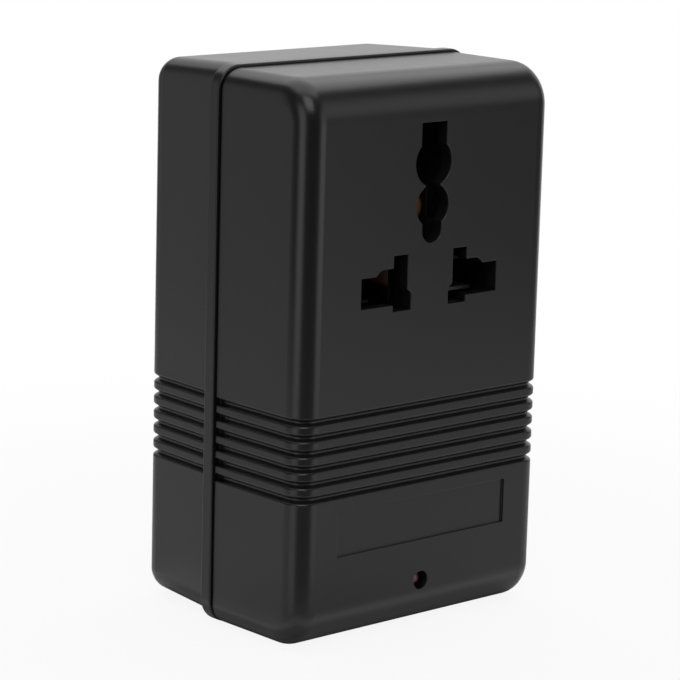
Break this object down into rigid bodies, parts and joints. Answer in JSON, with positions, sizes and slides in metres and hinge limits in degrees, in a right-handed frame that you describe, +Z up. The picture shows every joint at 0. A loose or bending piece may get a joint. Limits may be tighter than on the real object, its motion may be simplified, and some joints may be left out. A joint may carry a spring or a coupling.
{
  "type": "travel voltage converter",
  "caption": "Upright two-shell black case with a universal socket in its front, ribbed lower half, a transformer inside, and a mains inlet and sliding voltage selector in its back.",
  "frame": {"origin": "middle of the case's plan, on the surface that it stands on", "axes": "+Z up, the socket face looks along -Y, the inlet and the selector look along +Y"},
  "size_m": [0.0546, 0.0426, 0.0916],
  "materials": {
    "case_black": "semi-matt moulded black plastic",
    "insulator_black": "matt black insulating plastic",
    "inlet_black": "satin black plastic",
    "screw_steel": "zinc-plated steel",
    "contact_copper": "bare copper alloy sheet",
    "pole_copper": "bare copper alloy sheet",
    "earth_copper": "bare copper alloy sheet",
    "lamp_red": "clear tinted red epoxy",
    "board_brown": "brown paper-based board",
    "resistor_body": "lacquered ceramic with bands",
    "diode_black": "moulded epoxy with a pale band",
    "core_steel": "varnished laminated steel",
    "strap_steel": "bright steel sheet",
    "bobbin_nylon": "natural nylon",
    "tinned_pin": "tinned wire",
    "enamelled_copper": "enamelled copper wire",
    "tape_yellow": "polyester film tape",
    "fuse_silver": "metal case",
    "slider_red": "moulded red plastic",
    "terminal_brass": "brass strip",
    "inlet_brass": "nickel-plated brass",
    "lead_brown": "insulated wire",
    "lead_blue": "insulated wire",
    "lead_red": "insulated wire",
    "lead_black": "insulated wire",
    "lead_white": "insulated wire"
  },
  "bodies": {
    "case": {"front_shell": "case_black", "rear_shell": "case_black", "case_screws": "screw_steel", "socket_screws": "screw_steel", "selector_screws": "screw_steel", "socket_carrier": "insulator_black", "socket_cover": "insulator_black", "live_contact": "pole_copper", "neutral_contact": "pole_copper", "earth_contact": "earth_copper", "led": "lamp_red", "led_board": "board_brown", "led_resistor": "resistor_body", "led_diode": "diode_black", "core_e_stack": "core_steel", "core_i_stack": "core_steel", "core_strap": "strap_steel", "coil_bobbin": "bobbin_nylon", "bobbin_pins": "tinned_pin", "primary_winding": "enamelled_copper", "secondary_winding": "enamelled_copper", "winding_tape": "tape_yellow", "thermal_fuse": "fuse_silver", "selector_plate": "strap_steel", "selector_housing": "insulator_black", "selector_terminals": "terminal_brass", "inlet_body": "inlet_black", "inlet_pins": "inlet_brass", "inlet_live_lead": "lead_brown", "inlet_neutral_lead": "lead_blue", "selector_leads": "lead_red", "output_leads": "lead_black", "led_leads": "lead_white"},
    "selector": {"selector_slider": "slider_red", "selector_wipers": "contact_copper"}
  },
  "joints": [
    {"name": "selector_slide", "type": "slide", "parent": "case", "child": "selector", "axis": [1, 0, 0], "range_m": [0, 0.005]}
  ]
}
